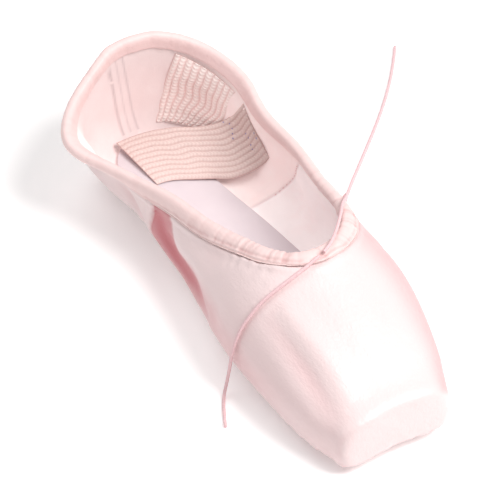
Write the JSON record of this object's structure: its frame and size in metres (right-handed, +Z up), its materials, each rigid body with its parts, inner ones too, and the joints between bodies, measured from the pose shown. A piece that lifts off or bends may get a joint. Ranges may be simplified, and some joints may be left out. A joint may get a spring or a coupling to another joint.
{
  "type": "ballet shoe",
  "caption": "Soft satin ballet shoe for the right or left foot, with a stiff flat-ended toe box, rolled collar with drawstring, elastics inside and a thin leather sole.",
  "frame": {"origin": "middle of the underside of the shoe's box, without its string, on the floor", "axes": "+X to the toe, +Y to the shoe's left, +Z up"},
  "size_m": [0.2374, 0.1983, 0.0599],
  "materials": {
    "satin": "pale pink satin, smooth, with a soft sheen",
    "binding_satin": "pink satin, rolled and gathered",
    "sole_leather": "thin tan leather, matte, with a cut edge",
    "insole_cotton": "white cotton on board, matte",
    "elastic": "pale pink ribbed woven elastic",
    "cord_cotton": "pale pink round cotton cord"
  },
  "bodies": {
    "root": {"upper": "satin", "collar_binding": "binding_satin", "outsole": "sole_leather", "insole": "insole_cotton", "short_elastic": "elastic", "long_elastic": "elastic", "drawstring_right_end": "cord_cotton", "drawstring_left_end": "cord_cotton"}
  },
  "joints": []
}
